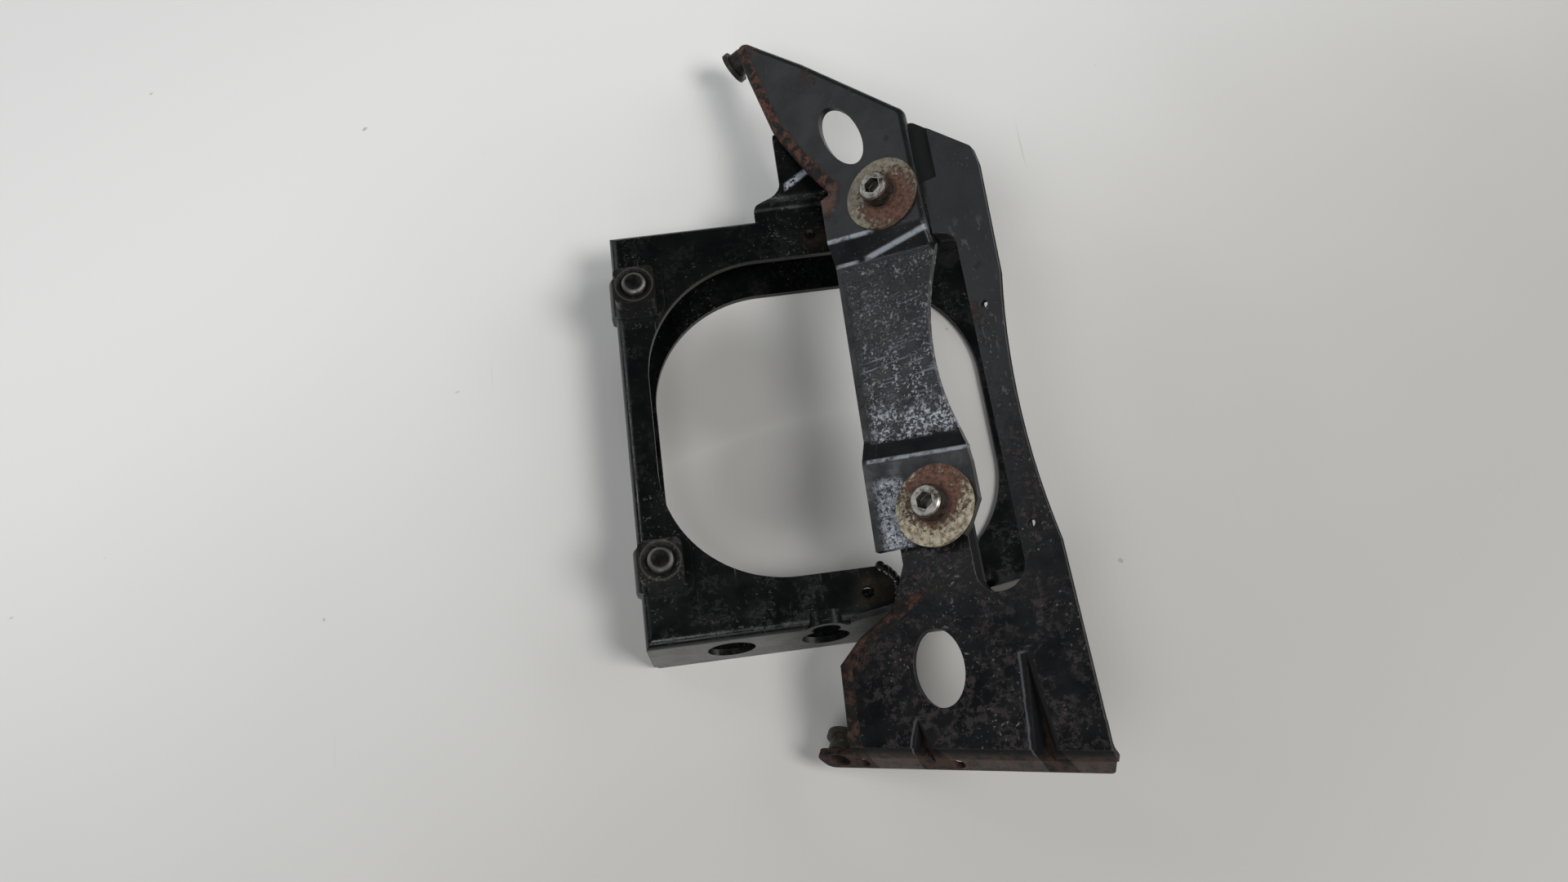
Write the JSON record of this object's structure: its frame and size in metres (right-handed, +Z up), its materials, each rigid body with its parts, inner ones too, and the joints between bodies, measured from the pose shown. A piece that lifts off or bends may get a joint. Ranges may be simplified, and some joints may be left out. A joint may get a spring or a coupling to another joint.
{
  "type": "grab bar bracket",
  "caption": "Pressed steel bracket: square channel frame with a large window, sloping rail plate with a long slot, and a joggled cross strap with an arm, clamped by screws.",
  "frame": {"origin": "middle of the bottom sheet's left side, on the surface that the frame lies on", "axes": "+X across the frame towards the sloping rail plate, +Y along the rail towards the arm, +Z up from the surface"},
  "size_m": [0.1305, 0.2843, 0.0655],
  "materials": {
    "black_paint": "worn gloss black",
    "bare_steel": "dull, lightly rusted",
    "zinc_washer": "dull zinc with rust"
  },
  "bodies": {
    "root": {"channel_frame": "black_paint", "bottom_ring": "black_paint", "rail_plate": "black_paint", "cross_strap": "black_paint", "arm_edge_nut": "black_paint", "flange_edge_nut": "black_paint", "lower_nut_pad": "black_paint", "upper_nut_pad": "black_paint", "lower_square_nut": "black_paint", "upper_square_nut": "black_paint", "lower_stud": "bare_steel", "upper_stud": "bare_steel", "lower_washer": "zinc_washer", "upper_washer": "zinc_washer", "lower_cap_screw": "bare_steel", "upper_cap_screw": "bare_steel", "lower_hex_nut": "bare_steel", "upper_hex_nut": "bare_steel"}
  },
  "joints": []
}
